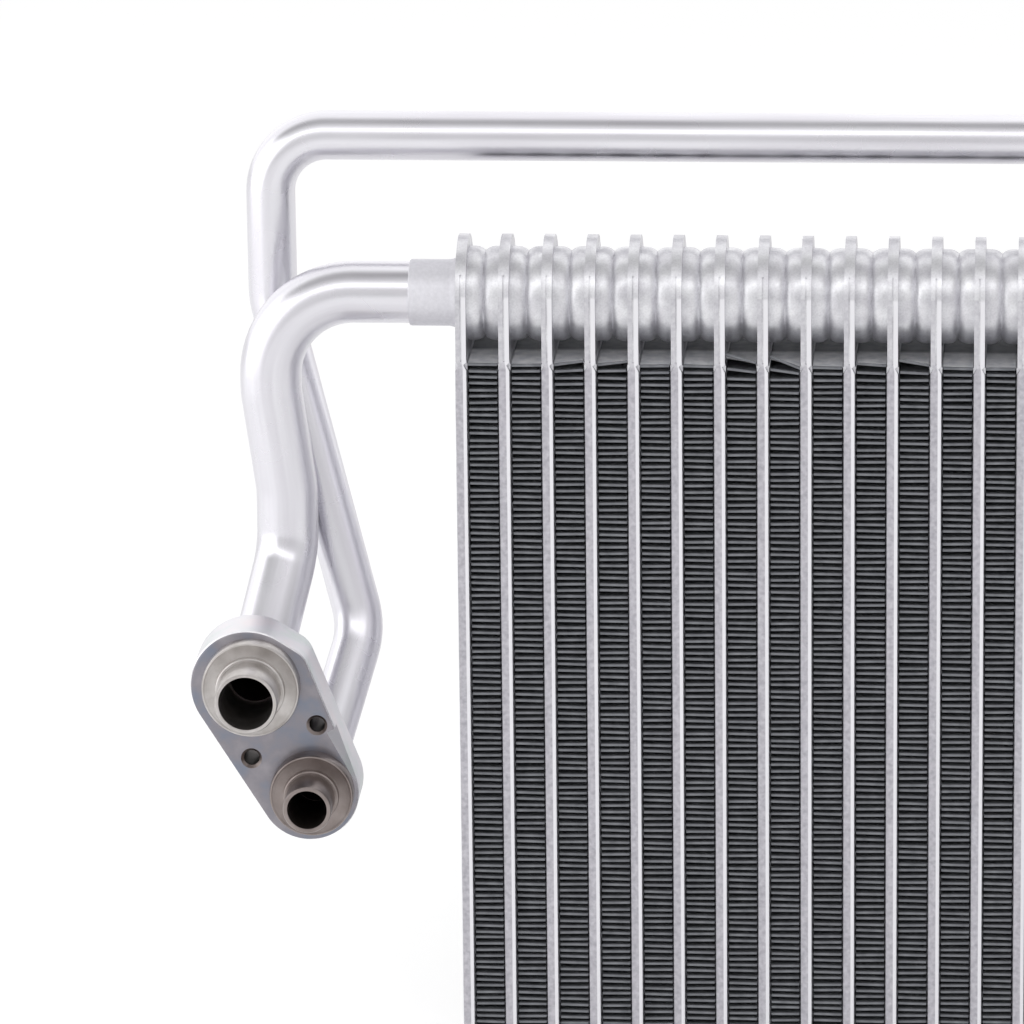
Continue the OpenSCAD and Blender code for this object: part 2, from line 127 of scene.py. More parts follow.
def brazed_plate():
    """Clad aluminium sheet after furnace brazing: pale and satiny, with a cloudy flux haze.
    At a tube's front and rear edge two flanges meet at a seam. There the end face is painted
    grey left of the seam as painted shade, and bright right of it as a painted highlight."""
    metal, tree, shader, place = new_metal("brazed_clad_aluminium", 0.4)
    # The haze forms clouds about 5 mm across, and grains of dry flux about 0.5 mm across
    clouds = add_node(tree, "ShaderNodeTexNoise", {"Vector": place}, Scale=1 / 5, Detail=4.0)
    grains = add_node(tree, "ShaderNodeTexNoise", {"Vector": place}, Scale=1 / 0.5, Detail=3.0)
    tone = ramp(tree, clouds.outputs["Fac"], (0.3, "#cfced3"), (0.7, "#e6e6e9"))
    speck = ramp(tree, grains.outputs["Fac"], (0.3, 0.88), (0.6, 1.0))
    skin = add_node(
        tree, "ShaderNodeMix", {6: tone, 7: speck},
        data_type="RGBA", blend_type="MULTIPLY", Factor=1.0,
    )
    parts = add_node(tree, "ShaderNodeSeparateXYZ", {"Vector": place}).outputs
    out = add_node(tree, "ShaderNodeMath", {0: parts["Y"]}, operation="ABSOLUTE").outputs[0]
    # The flanges' ends are the outermost 0.1 mm of the depth
    at_edge = add_node(
        tree, "ShaderNodeMapRange", {"Value": out},
        From_Min=HALF_DEPTH - 0.12, From_Max=HALF_DEPTH - 0.02,
    ).outputs[0]
    # Place across the tube, which is 0 at its seam
    across = add_node(
        tree, "ShaderNodeMath", {0: parts["X"], 1: PITCH / 2, 2: -PITCH / 2}, operation="WRAP"
    ).outputs[0]
    # The painted shade left of the seam is mottled in patches of about 1.2 mm
    mottle = add_node(tree, "ShaderNodeTexNoise", {"Vector": place}, Scale=1 / 1.2, Detail=4.0)
    low = add_node(
        tree, "ShaderNodeMapRange", {"Value": parts["Z"]},
        From_Min=NOTCH_Z + 1, From_Max=NOTCH_Z - 1,
    ).outputs[0]
    # Painted shade left of the seam, darker below the notch than above it
    shade_below_notch = ramp(tree, mottle.outputs["Fac"], (0.3, "#a7a5ac"), (0.7, "#c6c4ca"))
    shade_above_notch = ramp(tree, mottle.outputs["Fac"], (0.3, "#bcbbc1"), (0.7, "#d3d2d6"))
    left = add_node(
        tree, "ShaderNodeMix", {0: low, 6: shade_above_notch, 7: shade_below_notch}, data_type="RGBA"
    ).outputs[2]
    # The painted highlight starts right of the seam, and 0.3 mm further right below the notch
    seam = add_node(tree, "ShaderNodeMath", {0: low, 1: 0.3}, operation="MULTIPLY").outputs[0]
    past = add_node(tree, "ShaderNodeMath", {0: across, 1: seam}, operation="SUBTRACT").outputs[0]
    right = add_node(
        tree, "ShaderNodeMapRange", {"Value": past}, From_Min=0.1, From_Max=0.25
    ).outputs[0]
    # The painted highlight's colour, right of the seam
    bright = linear("#e6e5e9")
    edge = add_node(tree, "ShaderNodeMix", {0: right, 6: left, 7: bright}, data_type="RGBA")
    whole = add_node(
        tree, "ShaderNodeMix", {0: at_edge, 6: skin.outputs[2], 7: edge.outputs[2]},
        data_type="RGBA",
    )
    tree.links.new(whole.outputs[2], shader.inputs["Base Color"])
    rough = ramp(tree, clouds.outputs["Fac"], (0.3, 0.46), (0.7, 0.34))
    tree.links.new(rough, shader.inputs["Roughness"])
    raise_grain(tree, shader, grains.outputs["Fac"], 0.2, 0.05)
    return metal


def coated_fin():
    """Thin aluminium strip under a grey resin coat that lets water run off: dull, with a weak
    metal sheen. Its front and rear edges are painted a touch paler as painted light, and the
    outer parts of the top leaf are painted pale and mottled as painted light."""
    metal, tree, shader, place = new_metal("coated_fin_aluminium", 0.55)
    shader.inputs["Metallic"].default_value = 0.35
    # Light and dark patches on the strip, about 3 mm long
    patches = add_node(tree, "ShaderNodeTexNoise", {"Vector": place}, Scale=1 / 3, Detail=5.0)
    deep = ramp(tree, patches.outputs["Fac"], (0.3, "#66686d"), (0.7, "#84868c"))
    # Painted light: the strip's tone near its front and rear edges, a touch paler
    pale = ramp(tree, patches.outputs["Fac"], (0.3, "#6b6d72"), (0.7, "#86888d"))
    # Painted light on the top leaf's outer parts: pale and mottled
    painted_light_top_leaf = ramp(tree, patches.outputs["Fac"], (0.35, "#dcdee2"), (0.65, "#fafafb"))
    parts = add_node(tree, "ShaderNodeSeparateXYZ", {"Vector": place}).outputs
    out = add_node(tree, "ShaderNodeMath", {0: parts["Y"]}, operation="ABSOLUTE").outputs[0]
    half = FIN_DEPTH / 2
    # Painted light pales the strip over its outermost 2.5 mm, and the top leaf is its highest 0.6
    # mm
    edge = add_node(
        tree, "ShaderNodeMapRange", {"Value": out}, From_Min=half - 2.5, From_Max=half - 0.5
    ).outputs[0]
    high = add_node(
        tree, "ShaderNodeMapRange", {"Value": parts["Z"]},
        From_Min=FIN_TOP - 0.6, From_Max=FIN_TOP - 0.3,
    ).outputs[0]
    share = add_node(tree, "ShaderNodeMath", {0: out, 1: half}, operation="DIVIDE").outputs[0]
    # The top leaf's painted light reaches from 30 to 40 % of the half depth out to near the edge
    outer = ramp(tree, share, (0.3, 0.0), (0.4, 1.0), (0.96, 1.0), (0.985, 0.0))
    top = add_node(tree, "ShaderNodeMath", {0: high, 1: outer}, operation="MULTIPLY").outputs[0]
    strip = add_node(tree, "ShaderNodeMix", {0: edge, 6: deep, 7: pale}, data_type="RGBA")
    whole = add_node(
        tree, "ShaderNodeMix", {0: top, 6: strip.outputs[2], 7: painted_light_top_leaf}, data_type="RGBA"
    )
    tree.links.new(whole.outputs[2], shader.inputs["Base Color"])
    return metal


def drawn_pipe():
    """Drawn aluminium pipe: bright and satiny, with long faint streaks from the die."""
    metal, tree, shader, place = new_metal("drawn_aluminium_pipe", 0.2)
    along = add_node(tree, "ShaderNodeUVMap", uv_map="along").outputs["UV"]
    # UV is in metres: u goes round the pipe and v along it. Die lines are 0.5 mm wide and
    # 150 mm long, and streaks 4 mm wide and 90 mm long
    fine = add_node(
        tree, "ShaderNodeMapping", {"Vector": along}, Scale=(1 / (0.5 * MM), 1 / (150 * MM), 1)
    ).outputs["Vector"]
    lines = add_node(tree, "ShaderNodeTexNoise", {"Vector": fine}, Scale=1.0, Detail=0.0)
    wide = add_node(
        tree, "ShaderNodeMapping", {"Vector": along}, Scale=(1 / (4 * MM), 1 / (90 * MM), 1)
    ).outputs["Vector"]
    streaks = add_node(tree, "ShaderNodeTexNoise", {"Vector": wide}, Scale=1.0, Detail=3.0)
    tone = ramp(tree, streaks.outputs["Fac"], (0.35, "#d2d0d6"), (0.65, "#dfdee3"))
    tree.links.new(tone, shader.inputs["Base Color"])
    # A haze in patches of about 20 mm dulls the shine
    haze = add_node(tree, "ShaderNodeTexNoise", {"Vector": place}, Scale=1 / 20, Detail=3.0)
    rough = ramp(tree, haze.outputs["Fac"], (0.35, 0.31), (0.65, 0.25))
    tree.links.new(rough, shader.inputs["Roughness"])
    raise_grain(tree, shader, lines.outputs["Fac"], 0.06, 0.02)
    return metal


def tarnished_bore():
    """The inside of a pipe or a drilled hole: bare aluminium, dark and rough where no tool has
    polished it, in patches of about 3 mm."""
    metal, tree, shader, place = new_metal("tarnished_bore_aluminium", 0.55)
    clouds = add_node(tree, "ShaderNodeTexNoise", {"Vector": place}, Scale=1 / 3, Detail=4.0)
    tone = ramp(tree, clouds.outputs["Fac"], (0.3, "#3f3938"), (0.7, "#575050"))
    tree.links.new(tone, shader.inputs["Base Color"])
    return metal


def matt_collar():
    """Aluminium sleeve after brazing: matt and pale, with a frosty skin of 0.9 mm grains."""
    metal, tree, shader, place = new_metal("brazed_collar_aluminium", 0.6)
    frost = add_node(tree, "ShaderNodeTexNoise", {"Vector": place}, Scale=1 / 0.9, Detail=3.0)
    tone = ramp(tree, frost.outputs["Fac"], (0.3, "#d4d3d8"), (0.7, "#dcdbe0"))
    tree.links.new(tone, shader.inputs["Base Color"])
    raise_grain(tree, shader, frost.outputs["Fac"], 0.08, 0.04)
    return metal


def milled_face():
    """Milled aluminium, tarnished in the brazing furnace: smooth bluish grey with cloudy
    stains about 7 mm across."""
    metal, tree, shader, place = new_metal("milled_tarnished_aluminium", 0.36)
    clouds = add_node(tree, "ShaderNodeTexNoise", {"Vector": place}, Scale=1 / 7, Detail=5.0)
    tone = ramp(tree, clouds.outputs["Fac"], (0.3, "#7d828f"), (0.5, "#89868c"), (0.7, "#989499"))
    tree.links.new(tone, shader.inputs["Base Color"])
    # Faint lines from the cutter, 0.4 mm wide and 40 mm long, that run along the block
    cut = add_node(
        tree, "ShaderNodeMapping", {"Vector": place},
        Rotation=(0, 0.5, 0), Scale=(1 / 0.4, 1, 1 / 40),
    ).outputs["Vector"]
    lines = add_node(tree, "ShaderNodeTexNoise", {"Vector": cut}, Scale=1.0, Detail=1.0)
    raise_grain(tree, shader, lines.outputs["Fac"], 0.2, 0.02)
    return metal


def extruded_side():
    """The block's sides as extruded and brazed: pale and satiny, with a faint warm and green
    cast in patches of about 9 mm."""
    metal, tree, shader, place = new_metal("extruded_aluminium", 0.4)
    clouds = add_node(tree, "ShaderNodeTexNoise", {"Vector": place}, Scale=1 / 9, Detail=4.0)
    tone = ramp(tree, clouds.outputs["Fac"], (0.3, "#cdd5d2"), (0.5, "#d9d8dc"), (0.7, "#dfd9dc"))
    tree.links.new(tone, shader.inputs["Base Color"])
    return metal


def bare_edge():
    """The block's cut edge: bare aluminium, smooth and bright."""
    metal, tree, shader, place = new_metal("bare_cut_aluminium", 0.3)
    # Nicks about 1.5 mm apart dull the edge a little
    nicks = add_node(tree, "ShaderNodeTexNoise", {"Vector": place}, Scale=1 / 1.5, Detail=3.0)
    tone = ramp(tree, nicks.outputs["Fac"], (0.3, "#dedde1"), (0.6, "#f2f1f3"))
    tree.links.new(tone, shader.inputs["Base Color"])
    return metal


def turned_port(name, dark, light):
    """Turned aluminium: fine rings from the tool, with a warm tarnish from the furnace."""
    metal, tree, shader, place = new_metal(name, 0.34)
    clouds = add_node(tree, "ShaderNodeTexNoise", {"Vector": place}, Scale=1 / 5, Detail=5.0)
    tone = ramp(tree, clouds.outputs["Fac"], (0.3, dark), (0.7, light))
    tree.links.new(tone, shader.inputs["Base Color"])
    rings = add_node(tree, "ShaderNodeUVMap", uv_map="along").outputs["UV"]
    # v runs along the turned profile in metres, and the tool's feed is 0.25 mm a turn
    fed = add_node(
        tree, "ShaderNodeMapping", {"Vector": rings}, Scale=(0, 1 / (0.25 * MM), 1)
    ).outputs["Vector"]
    lines = add_node(tree, "ShaderNodeTexNoise", {"Vector": fed}, Scale=1.0, Detail=1.0)
    raise_grain(tree, shader, lines.outputs["Fac"], 0.5, 0.04)
    return metal


def face_outward(mesh):
    """Turns every face of a closed mesh outward."""
    work = bmesh.new()
    work.from_mesh(mesh)
    bmesh.ops.recalc_face_normals(work, faces=work.faces)
    work.to_mesh(mesh)
    work.free()


def make_piece(name, slot, finish, points, faces, uv=None, smooth=True):
    """A mesh piece from points in millimetres, riding on the core."""
    mesh = bpy.data.meshes.new(name)
    mesh.from_pydata([Vector(p) * MM for p in points], [], faces)
    if uv:
        layer = mesh.uv_layers.new(name="along")
        for face in mesh.polygons:
            for corner, spot in zip(face.loop_indices, uv[face.index]):
                layer.data[corner].uv = spot
    face_outward(mesh)
    if smooth:
        mesh.shade_smooth()
    mesh.materials.append(finish)
    piece = bpy.data.objects.new(name, mesh)
    bpy.context.collection.objects.link(piece)
    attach(piece, "root")
    return piece


def fold_line(legs, top, bottom, half, start_side, rng):
    """The fin strip's path in its gap: level legs that turn back flat against each wall.
    Each point has its place across, its height, and whether it is in a turn."""
    leg = (top - bottom) / legs
    # Each turn has corners of this size, cut off by this much, and no leg lies quite level
    corner, cut, waver = 0.3, 0.09, 0.1
    inner = half - corner
    line = []
    for k in range(legs + 1):
        z = top - k * leg + rng.uniform(-waver, waver)
        side = start_side if k % 2 == 0 else -start_side
        line.append((side * -(inner if k else half), z, False))
        line.append((side * inner, z, False))
        if k < legs:
            below = top - (k + 1) * leg
            line += [
                (side * (half - cut), z - cut, True), (side * half, z - corner, True),
                (side * half, below + corner, True), (side * (half - cut), below + cut, True),
            ]
    return line


# Top leaves that are bent up at the front edge: rise at the left and the right wall, in millimetres
BENT_LEAVES = {
    3: (0.0, 1.3), 4: (0.2, 1.2), 7: (3.4, 1.2), 8: (3.2, -0.3), 10: (1.2, 0.6), 11: (2.2, 0.8),
}


def fin(i, finish):
    """One folded fin between two tubes, with a real strip's small waves and its bent top leaf."""
    rng = random.Random(100 + i)
    middle_x = FIRST_X + (i - 0.5) * PITCH
    line = fold_line(FIN_LEGS, FIN_TOP, FIN_FOOT, FIN_HALF - FIN_SHEET / 2, 1 if i % 2 else -1, rng)
    left_rise, right_rise = BENT_LEAVES.get(i, (0.0, 0.0))
    # How far back the bend and the waves reach, the waves' height, and how far the turns lie
    # behind the legs' front edges, in their shade
    bend_reach, wave_reach, wave, set_back = 8, 5, 0.1, 1.2
    # Distance behind the front edge, and the strip's thickness there with its burr and coat
    rows = (
        (0.0, 0.6), (0.7, 0.66), (2.0, 0.34),
        (4.0, FIN_SHEET), (8.0, FIN_SHEET), (FIN_DEPTH, FIN_SHEET),
    )
    count = len(line)
    normals = []
    for k in range(count):
        a, b = line[max(k - 1, 0)], line[min(k + 1, count - 1)]
        dx, dz = b[0] - a[0], b[1] - a[1]
        size = math.hypot(dx, dz)
        normals.append((-dz / size, dx / size))
    points = []
    for back, sheet in rows:
        curl = max(0.0, 1 - back / bend_reach) ** 1.5
        for side in (1, -1):
            order = range(count) if side == 1 else range(count - 1, -1, -1)
            for k in order:
                nx, nz = normals[k]
                in_turn = line[k][2]
                thick = FIN_SHEET if in_turn else sheet
                x = max(-FIN_HALF, min(FIN_HALF, line[k][0] + side * nx * thick / 2))
                z = line[k][1] + side * nz * thick / 2
                share = (line[k][0] + FIN_HALF) / (2 * FIN_HALF)
                # The top leaf takes the whole bend, and the next one a third of it
                held = 1.0 if k < 2 else 0.35 if k < 8 else 0.0
                z += curl * held * (left_rise * (1 - share) ** 1.5 + right_rise * share ** 1.5)
                z += wave * max(0.0, 1 - back / wave_reach) * math.sin(k * 1.7 + i)
                y = max(back, set_back if in_turn else 0.0) - FIN_DEPTH / 2
                points.append((middle_x + x, y, z))
    loop = 2 * count
    faces = []
    for row in range(len(rows) - 1):
        for k in range(loop):
            n = (k + 1) % loop
            a, b = row * loop, (row + 1) * loop
            faces.append((a + k, a + n, b + n, b + k))
    for start in (0, (len(rows) - 1) * loop):
        for k in range(count - 1):
            faces.append((start + k, start + k + 1, start + loop - 2 - k, start + loop - 1 - k))
    piece = make_piece(
        f"folded_fin_{i:02d}", "fin_aluminium", finish, points, faces, smooth=False
    )
    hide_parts(f"fin_{i:02d}")


def bent_path(route, bends, step=5.0):
    """Points along a route, with each corner bent to its radius in steps of some degrees."""
    corners = [Vector(p) for p in route]
    path = [corners[0]]
    for i in range(1, len(corners) - 1):
        into = (corners[i] - corners[i - 1]).normalized()
        out = (corners[i + 1] - corners[i]).normalized()
        angle = into.angle(out)
        reach = bends[i] * math.tan(angle / 2)
        start = corners[i] - into * reach
        inward = (out - into * out.dot(into)).normalized()
        centre = start + inward * bends[i]
        steps = max(2, math.ceil(math.degrees(angle) / step))
        for k in range(steps + 1):
            a = angle * k / steps
            path.append(
                centre - inward * bends[i] * math.cos(a) + into * bends[i] * math.sin(a)
            )
    path.append(corners[-1])
    return path


def swept_pipe(name, node, route, bends, outer, finish, bore_finish, sides=48, spacing=12):
    """A pipe with its bore, swept along a bent path without twist."""
    corners = bent_path(route, bends)
    # Long straight runs get a ring at every spacing, which keeps the faces short
    path = [corners[0]]
    for a, b in zip(corners, corners[1:]):
        pieces = max(1, int((b - a).length // spacing))
        path += [a.lerp(b, (k + 1) / pieces) for k in range(pieces)]
    heading = (path[1] - path[0]).normalized()
    across = heading.orthogonal().normalized()
    rings, lengths, gone = [], [], 0.0
    for i, middle in enumerate(path):
        before = path[max(i - 1, 0)]
        after = path[min(i + 1, len(path) - 1)]
        new_heading = (after - before).normalized()
        across = heading.rotation_difference(new_heading) @ across
        across = (across - new_heading * across.dot(new_heading)).normalized()
        heading = new_heading
        other = heading.cross(across)
        if i:
            gone += (middle - path[i - 1]).length
        lengths.append(gone)
        rings.append((middle, across.copy(), other))
    points, faces, uv = [], [], []
    for radius in (outer / 2, outer / 2 - PIPE_WALL):
        for middle, a, b in rings:
            for k in range(sides):
                turn = 2 * math.pi * k / sides
                points.append(middle + radius * (a * math.cos(turn) + b * math.sin(turn)))
    count = len(rings)
    width = math.pi * outer * MM / sides
    for skin in (0, 1):
        base = skin * count * sides
        for i in range(count - 1):
            a, b = base + i * sides, base + (i + 1) * sides
            low, high = lengths[i] * MM, lengths[i + 1] * MM
            for k in range(sides):
                n = (k + 1) % sides
                faces.append((a + k, a + n, b + n, b + k))
                left, right = k * width, (k + 1) * width
                uv.append(((left, low), (right, low), (right, high), (left, high)))
    # The rings that close the wall at both ends
    for i in (0, count - 1):
        a, b = i * sides, (count + i) * sides
        for k in range(sides):
            n = (k + 1) % sides
            faces.append((a + k, a + n, b + n, b + k))
            uv.append(((0, 0), (0, 0), (0, 0), (0, 0)))
    piece = make_piece(name, "pipe_aluminium", finish, points, faces, uv)
    piece.data.materials.append(bore_finish)
    for face in piece.data.polygons[(count - 1) * sides:]:
        face.material_index = 1
    sharpen(piece, 50)
    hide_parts(node)


def sharpen(piece, degrees):
    """Keeps edges steeper than an angle crisp on a smooth piece."""
    piece.data.set_sharp_from_angle(angle=math.radians(degrees))


def turned_form(profile, centre, axis, sides=96):
    """Points, faces and UV of a form turned about an axis. Its closed profile is a list of
    places along the axis, each with its radius."""
    axis = Vector(axis)
    across = axis.orthogonal().normalized()
    other = axis.cross(across)
    centre = Vector(centre)
    points, faces, uv = [], [], []
    for along, radius in profile:
        for k in range(sides):
            turn = 2 * math.pi * k / sides
            spoke = across * math.cos(turn) + other * math.sin(turn)
            points.append(centre + axis * along + radius * spoke)
    run = [0.0]
    for (a, r), (b, s) in zip(profile, profile[1:] + profile[:1]):
        run.append(run[-1] + math.hypot(b - a, s - r) * MM)
    for i in range(len(profile)):
        j = (i + 1) % len(profile)
        for k in range(sides):
            n = (k + 1) % sides
            faces.append((i * sides + k, i * sides + n, j * sides + n, j * sides + k))
            low, high = k / sides, (k + 1) / sides
            uv.append(((low, run[i]), (high, run[i]), (high, run[i + 1]), (low, run[i + 1])))
    return points, faces, uv


def turned_piece(name, node, slot, finish, profile, centre, axis):
    """A turned piece that stands for a CAD node."""
    piece = make_piece(name, slot, finish, *turned_form(profile, centre, axis))
    sharpen(piece, 30)
    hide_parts(node)


def on_block(x, y, z):
    """A point of the block's own frame in the core's frame."""
    across = x * math.cos(TILT) - y * math.sin(TILT)
    up = x * math.sin(TILT) + y * math.cos(TILT)
    return SUCTION_PORT + Vector((across, -z, up))


def block_ring(inset, z, sides=144):
    """The block's outline round its three lobes, drawn in by some inset, at a height."""
    ring = []
    for k in range(sides):
        turn = 2 * math.pi * k / sides
        u, v = math.cos(turn), math.sin(turn)
        x, y, r = max(LOBES, key=lambda lobe: lobe[0] * u + lobe[1] * v + lobe[2])
        ring.append(on_block(x + (r - inset) * u, y + (r - inset) * v, z))
    return ring


def cut_away(piece, *cutters):
    """Cuts some closed forms of points and faces out of a piece."""
    scratch = []
    for points, faces in cutters:
        mesh = bpy.data.meshes.new("cutter")
        mesh.from_pydata([Vector(p) * MM for p in points], [], faces)
        face_outward(mesh)
        cutter = bpy.data.objects.new("cutter", mesh)
        bpy.context.collection.objects.link(cutter)
        cut = piece.modifiers.new("cut", "BOOLEAN")
        cut.operation, cut.solver, cut.object = "DIFFERENCE", "EXACT", cutter
        scratch.append(cutter)
    evaluated = piece.evaluated_get(bpy.context.evaluated_depsgraph_get())
    done = bpy.data.meshes.new_from_object(evaluated)
    piece.modifiers.clear()
    piece.data = done
    for cutter in scratch:
        bpy.data.objects.remove(cutter)


def plug(x, y, profile, sides=48):
    """A closed turned form on the block, from its back towards its front, for cutting."""
    points, faces, _ = turned_form(profile, on_block(x, y, 0), FORWARD, sides)
    # Flat ends take the place of the faces that would close the profile
    last = (len(profile) - 1) * sides
    ends = [tuple(range(sides)), tuple(range(last, last + sides))]
    return points, faces[:last] + ends


def in_block(point):
    """A point of the core's frame, in metres, as the block's own x, y and z in millimetres."""
    p = point / MM - SUCTION_PORT
    across = p.x * math.cos(TILT) + p.z * math.sin(TILT)
    up = p.z * math.cos(TILT) - p.x * math.sin(TILT)
    return across, up, -p.y


def connection_block(face_finish, side_finish, edge_finish, hole_finish, sink_finish):
    """The block's body: a prism round three lobes with broken edges, its holes and a bevel."""
    # How deep the front edge is broken, and the bolt holes' radius
    broken, bolt_hole = 0.7, 2.0
    rings = [
        block_ring(0.5, 0.0), block_ring(0.0, 0.5), block_ring(0.0, BLOCK_THICK - broken),
        block_ring(0.25, BLOCK_THICK - 0.25), block_ring(0.8, BLOCK_THICK),
    ]
    count = len(rings[0])
    points = [p for ring in rings for p in ring]
    last = (len(rings) - 1) * count
    faces = [tuple(range(count)), tuple(range(last, last + count))]
    for a in range(0, last, count):
        for k in range(count):
            n = (k + 1) % count
            faces.append((a + k, a + n, a + count + n, a + count + k))
    piece = make_piece("block_body", "block_aluminium", side_finish, points, faces)
    # The bevel falls from the front face to near the back one, just past the block's side
    inner, past, over, low = 10.8, 17.4, BLOCK_THICK + 3, 3.0
    wedge = [(inner, BLOCK_THICK), (inner, over), (past, over), (past, low)]
    bevel = [on_block(x, y, z) for y in (-20, -38.5) for x, z in wedge]
    walls = [(0, 1, 2, 3), (4, 5, 6, 7), (0, 1, 5, 4), (1, 2, 6, 5), (2, 3, 7, 6), (3, 0, 4, 7)]
    sunk = [
        (-1, bolt_hole), (BLOCK_THICK - 0.7, bolt_hole), (BLOCK_THICK + 0.3, bolt_hole + 1),
    ]
    # The openings for the two ports go right through
    through = (-1, BLOCK_THICK + 1)
    cut_away(
        piece, (bevel, walls),
        *(plug(x, y, sunk) for x, y in BOLTS),
        plug(0, 0, [(z, 8.0) for z in through]),
        plug(0, -PORT_GAP, [(z, 6.4) for z in through]),
    )
    for finish in (face_finish, edge_finish, hole_finish, sink_finish):
        piece.data.materials.append(finish)
    for face in piece.data.polygons:
        x, y, z = in_block(face.center)
        to_hole = min(math.hypot(x - u, y - v) for u, v in BOLTS)
        looks_ahead = face.normal.y < -0.9
        if to_hole < bolt_hole + 1.2 and not looks_ahead:
            face.material_index = 3 if to_hole < bolt_hole + 0.1 else 4
        elif looks_ahead:
            face.material_index = 1
        elif z > BLOCK_THICK - broken - 0.02:
            face.material_index = 2
    piece.data.shade_smooth()
    sharpen(piece, 28)
    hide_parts("connection_block")


def port(name, y, boss, spigot, bore, pipe, finish):
    """A turned port on the block, from the radii of its boss, spigot, bore and pipe: a boss, a
    foot, a spigot with a rounded lip, and a bore down to the socket of the pipe."""
    # The port's root is sunk a little into the block, and the pipe's end seats on a step
    root, back, step = BLOCK_THICK - 0.6, 0.6, 8.05
    top = BLOCK_THICK + BOSS_HEIGHT
    end = top + SPIGOT_REACH
    inner, outer = pipe + PIPE_PLAY, pipe + SLEEVE_OUT
    profile = [
        # The boss and its rounded edge
        (root, boss), (top - 0.45, boss), (top - 0.12, boss - 0.15), (top, boss - 0.5),
        # The shallow ring in its face, and the foot
        (top - 0.15, boss - 0.9), (top - 0.15, spigot + 0.95), (top + 0.1, spigot + 0.8),
        (top + 1.15, spigot + 0.8), (top + 1.4, spigot + 0.5), (top + 1.4, spigot),
        # The spigot and its lip
        (end - 0.5, spigot), (end - 0.12, spigot - 0.18), (end, spigot - 0.5),
        (end, bore + 0.4), (end - 0.1, bore + 0.12), (end - 0.4, bore),
        # The bore and the socket
        (step, bore), (step, inner), (back, inner), (back, outer), (root, outer),
    ]
    centre = on_block(0, y, 0)
    turned_piece(name, "connection_block", "block_aluminium", finish, profile, centre, FORWARD)


def sleeve(name, node, side, tank, pipe, length, finish):
    """A brazed sleeve round a pipe of some radius: a swelling at the tank, a plain run and a
    rounded mouth."""
    inner, outer = pipe + PIPE_PLAY, pipe + SLEEVE_OUT
    profile = [
        (0.0, outer + 0.5), (0.7, outer + 0.45), (1.5, outer + 0.2), (2.4, outer),
        (length - 0.5, outer), (length - 0.15, outer - 0.12), (length, outer - 0.3),
        (length, inner), (0.0, inner),
    ]
    start = (side * END_FACE, *tank)
    turned_piece(name, node, "collar_aluminium", finish, profile, start, (side, 0, 0))


def set_camera():
    """The camera at the photograph's place and angle, in millimetres and degrees."""
    place = Vector((26.4, -1978.2, 742.4))
    yaw, pitch, roll = (math.radians(a) for a in (4.267, 16.406, -0.653))
    ahead = Vector((
        -math.sin(yaw) * math.cos(pitch), math.cos(yaw) * math.cos(pitch), -math.sin(pitch)
    ))
    level = Vector((math.cos(yaw), math.sin(yaw), 0))
    rise = level.cross(ahead)
    right = level * math.cos(roll) + rise * math.sin(roll)
    up = rise * math.cos(roll) - level * math.sin(roll)
    lens = bpy.data.cameras.new("photo_camera")
    lens.sensor_width = 36
    lens.lens = 280.15
    lens.clip_start, lens.clip_end = 0.1, 40
    camera = bpy.data.objects.new("photo_camera", lens)
    turn = Matrix((right, up, -ahead)).transposed().to_4x4()
    camera.matrix_world = Matrix.Translation(place * MM) @ turn
    bpy.context.collection.objects.link(camera)
    bpy.context.scene.camera = camera


def lift(tree, amount):
    """An amount of light for what the camera sees, directly or in metal and glass."""
    ray = add_node(tree, "ShaderNodeLightPath").outputs
    direct = add_node(
        tree, "ShaderNodeMath", {0: ray["Is Camera Ray"], 1: ray["Is Glossy Ray"]},
        operation="MAXIMUM",
    ).outputs[0]
    seen = add_node(
        tree, "ShaderNodeMath", {0: direct, 1: ray["Is Transmission Ray"]}, operation="MAXIMUM"
    ).outputs[0]
    return add_node(
        tree, "ShaderNodeMath", {0: seen, 1: amount}, operation="MULTIPLY"
    ).outputs[0]


def set_floor():
    """A plain pale floor that shows white and keeps the object's shadow."""
    half = 12.0
    mesh = bpy.data.meshes.new("studio_floor")
    corners = [(-half, -half, 0), (half, -half, 0), (half, half, 0), (-half, half, 0)]
    mesh.from_pydata(corners, [], [(0, 1, 2, 3)])
    paint = bpy.data.materials.new("matt_white_floor")
    paint.use_nodes = True
    tree = paint.node_tree
    tree.nodes.clear()
    matt = add_node(tree, "ShaderNodeBsdfDiffuse", Color=linear("#e6e6e6"))
    # Just enough light to bring the floor's own tone up to white
    glow = add_node(
        tree, "ShaderNodeEmission", {"Strength": lift(tree, 0.37)}, Color=(1, 1, 1, 1)
    )
    both = add_node(tree, "ShaderNodeAddShader", {0: matt.outputs[0], 1: glow.outputs[0]})
    add_node(tree, "ShaderNodeOutputMaterial", {"Surface": both.outputs[0]})
    mesh.materials.append(paint)
    floor = bpy.data.objects.new("studio_floor", mesh)
    bpy.context.collection.objects.link(floor)


